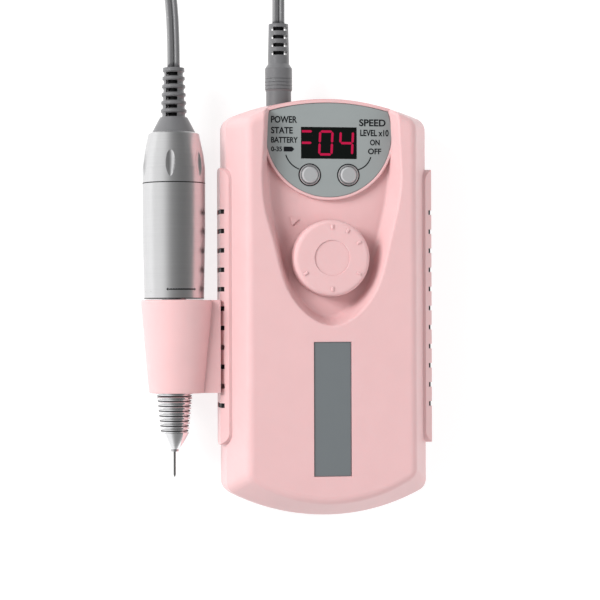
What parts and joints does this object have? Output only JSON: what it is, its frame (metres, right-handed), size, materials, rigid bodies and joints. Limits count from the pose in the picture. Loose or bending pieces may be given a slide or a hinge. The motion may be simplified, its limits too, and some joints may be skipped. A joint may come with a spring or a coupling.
{
  "type": "electric nail drill",
  "caption": "Portable rechargeable nail drill: pink control box with display, buttons and speed knob, and a corded metal handpiece in a side holder.",
  "frame": {"origin": "centre of the control box's flat back, on the surface it lies on", "axes": "+Z is the front face's normal (up as it lies on its back), +Y points to the end where the cords come out, +X to the right of someone reading the display"},
  "size_m": [0.1171, 0.2934, 0.0335],
  "materials": {
    "shell_plastic": "satin pink moulded plastic",
    "panel_plastic": "grey printed panel",
    "window_lens": "dark smoked lens",
    "silver_plastic": "silver painted plastic",
    "inner_plastic": "black moulded plastic",
    "board_laminate": "green solder mask",
    "cell_sleeve": "shrink sleeve",
    "aluminium_body": "satin anodised aluminium",
    "chrome_parts": "polished",
    "steel_parts": "ground steel",
    "screw_steel": "blackened screw",
    "contact_brass": "plated contact",
    "cord_rubber": "grey flexible PVC"
  },
  "bodies": {
    "case": {"front_cover": "shell_plastic", "rear_cover": "shell_plastic", "case_screws": "screw_steel", "side_rail_left": "shell_plastic", "side_rail_right": "shell_plastic", "faceplate": "panel_plastic", "display_window": "window_lens", "display_module": "inner_plastic", "label_plate": "panel_plastic", "tact_switches": "inner_plastic", "speed_potentiometer": "steel_parts", "main_board": "board_laminate", "board_screws": "screw_steel", "board_components": "inner_plastic", "cell_cradle": "inner_plastic", "battery_cell_left": "cell_sleeve", "battery_cell_right": "cell_sleeve", "cell_links": "steel_parts", "output_socket": "inner_plastic", "charge_socket": "inner_plastic", "handpiece_holder": "shell_plastic"},
    "knob": {"speed_knob": "shell_plastic", "pot_shaft": "steel_parts"},
    "left_button": {"button_left": "silver_plastic", "switch_plunger_left": "inner_plastic"},
    "right_button": {"button_right": "silver_plastic", "switch_plunger_right": "inner_plastic"},
    "handpiece": {"tool_boot": "cord_rubber", "end_cap": "aluminium_body", "body_tube": "aluminium_body", "motor_can": "steel_parts", "motor_end_bell": "inner_plastic", "motor_terminals": "contact_brass", "bearing_housing": "steel_parts", "front_bearing": "steel_parts", "rear_bearing": "steel_parts", "plug_body": "cord_rubber", "plug_boot": "cord_rubber", "plug_barrel": "chrome_parts", "cord_tool_end": "cord_rubber", "cord_plug_end": "cord_rubber", "cord_coil": "cord_rubber"},
    "grip": {"front_grip": "chrome_parts", "nose_cone": "chrome_parts"},
    "spindle": {"motor_shaft": "steel_parts", "drive_coupling": "inner_plastic", "spindle": "steel_parts", "collet": "steel_parts", "collet_spring": "steel_parts"},
    "bit": {"drill_bit": "steel_parts"}
  },
  "joints": [
    {"name": "knob_turn", "type": "hinge", "parent": "case", "child": "knob", "pos_m": [0, 0.019, 0.0246], "axis": [0, 0, 1], "range_deg": [-270, 0]},
    {"name": "left_button_press", "type": "slide", "parent": "case", "child": "left_button", "axis": [0, 0, -1], "range_m": [0, 0.0005], "stiffness_N_per_m": 600},
    {"name": "right_button_press", "type": "slide", "parent": "case", "child": "right_button", "axis": [0, 0, -1], "range_m": [0, 0.0005], "stiffness_N_per_m": 600},
    {"name": "handpiece_pull", "type": "slide", "parent": "case", "child": "handpiece", "axis": [0, 1, 0], "range_m": [0, 0.1]},
    {"name": "grip_twist", "type": "hinge", "parent": "handpiece", "child": "grip", "pos_m": [-0.0603, 0, 0.0165], "axis": [0, 1, 0], "range_deg": [0, 50]},
    {"name": "spindle_spin", "type": "hinge", "parent": "handpiece", "child": "spindle", "pos_m": [-0.0603, 0, 0.0165], "axis": [0, 1, 0], "continuous": true},
    {"name": "bit_pull", "type": "slide", "parent": "spindle", "child": "bit", "axis": [0, -1, 0], "range_m": [0, 0.03]}
  ]
}
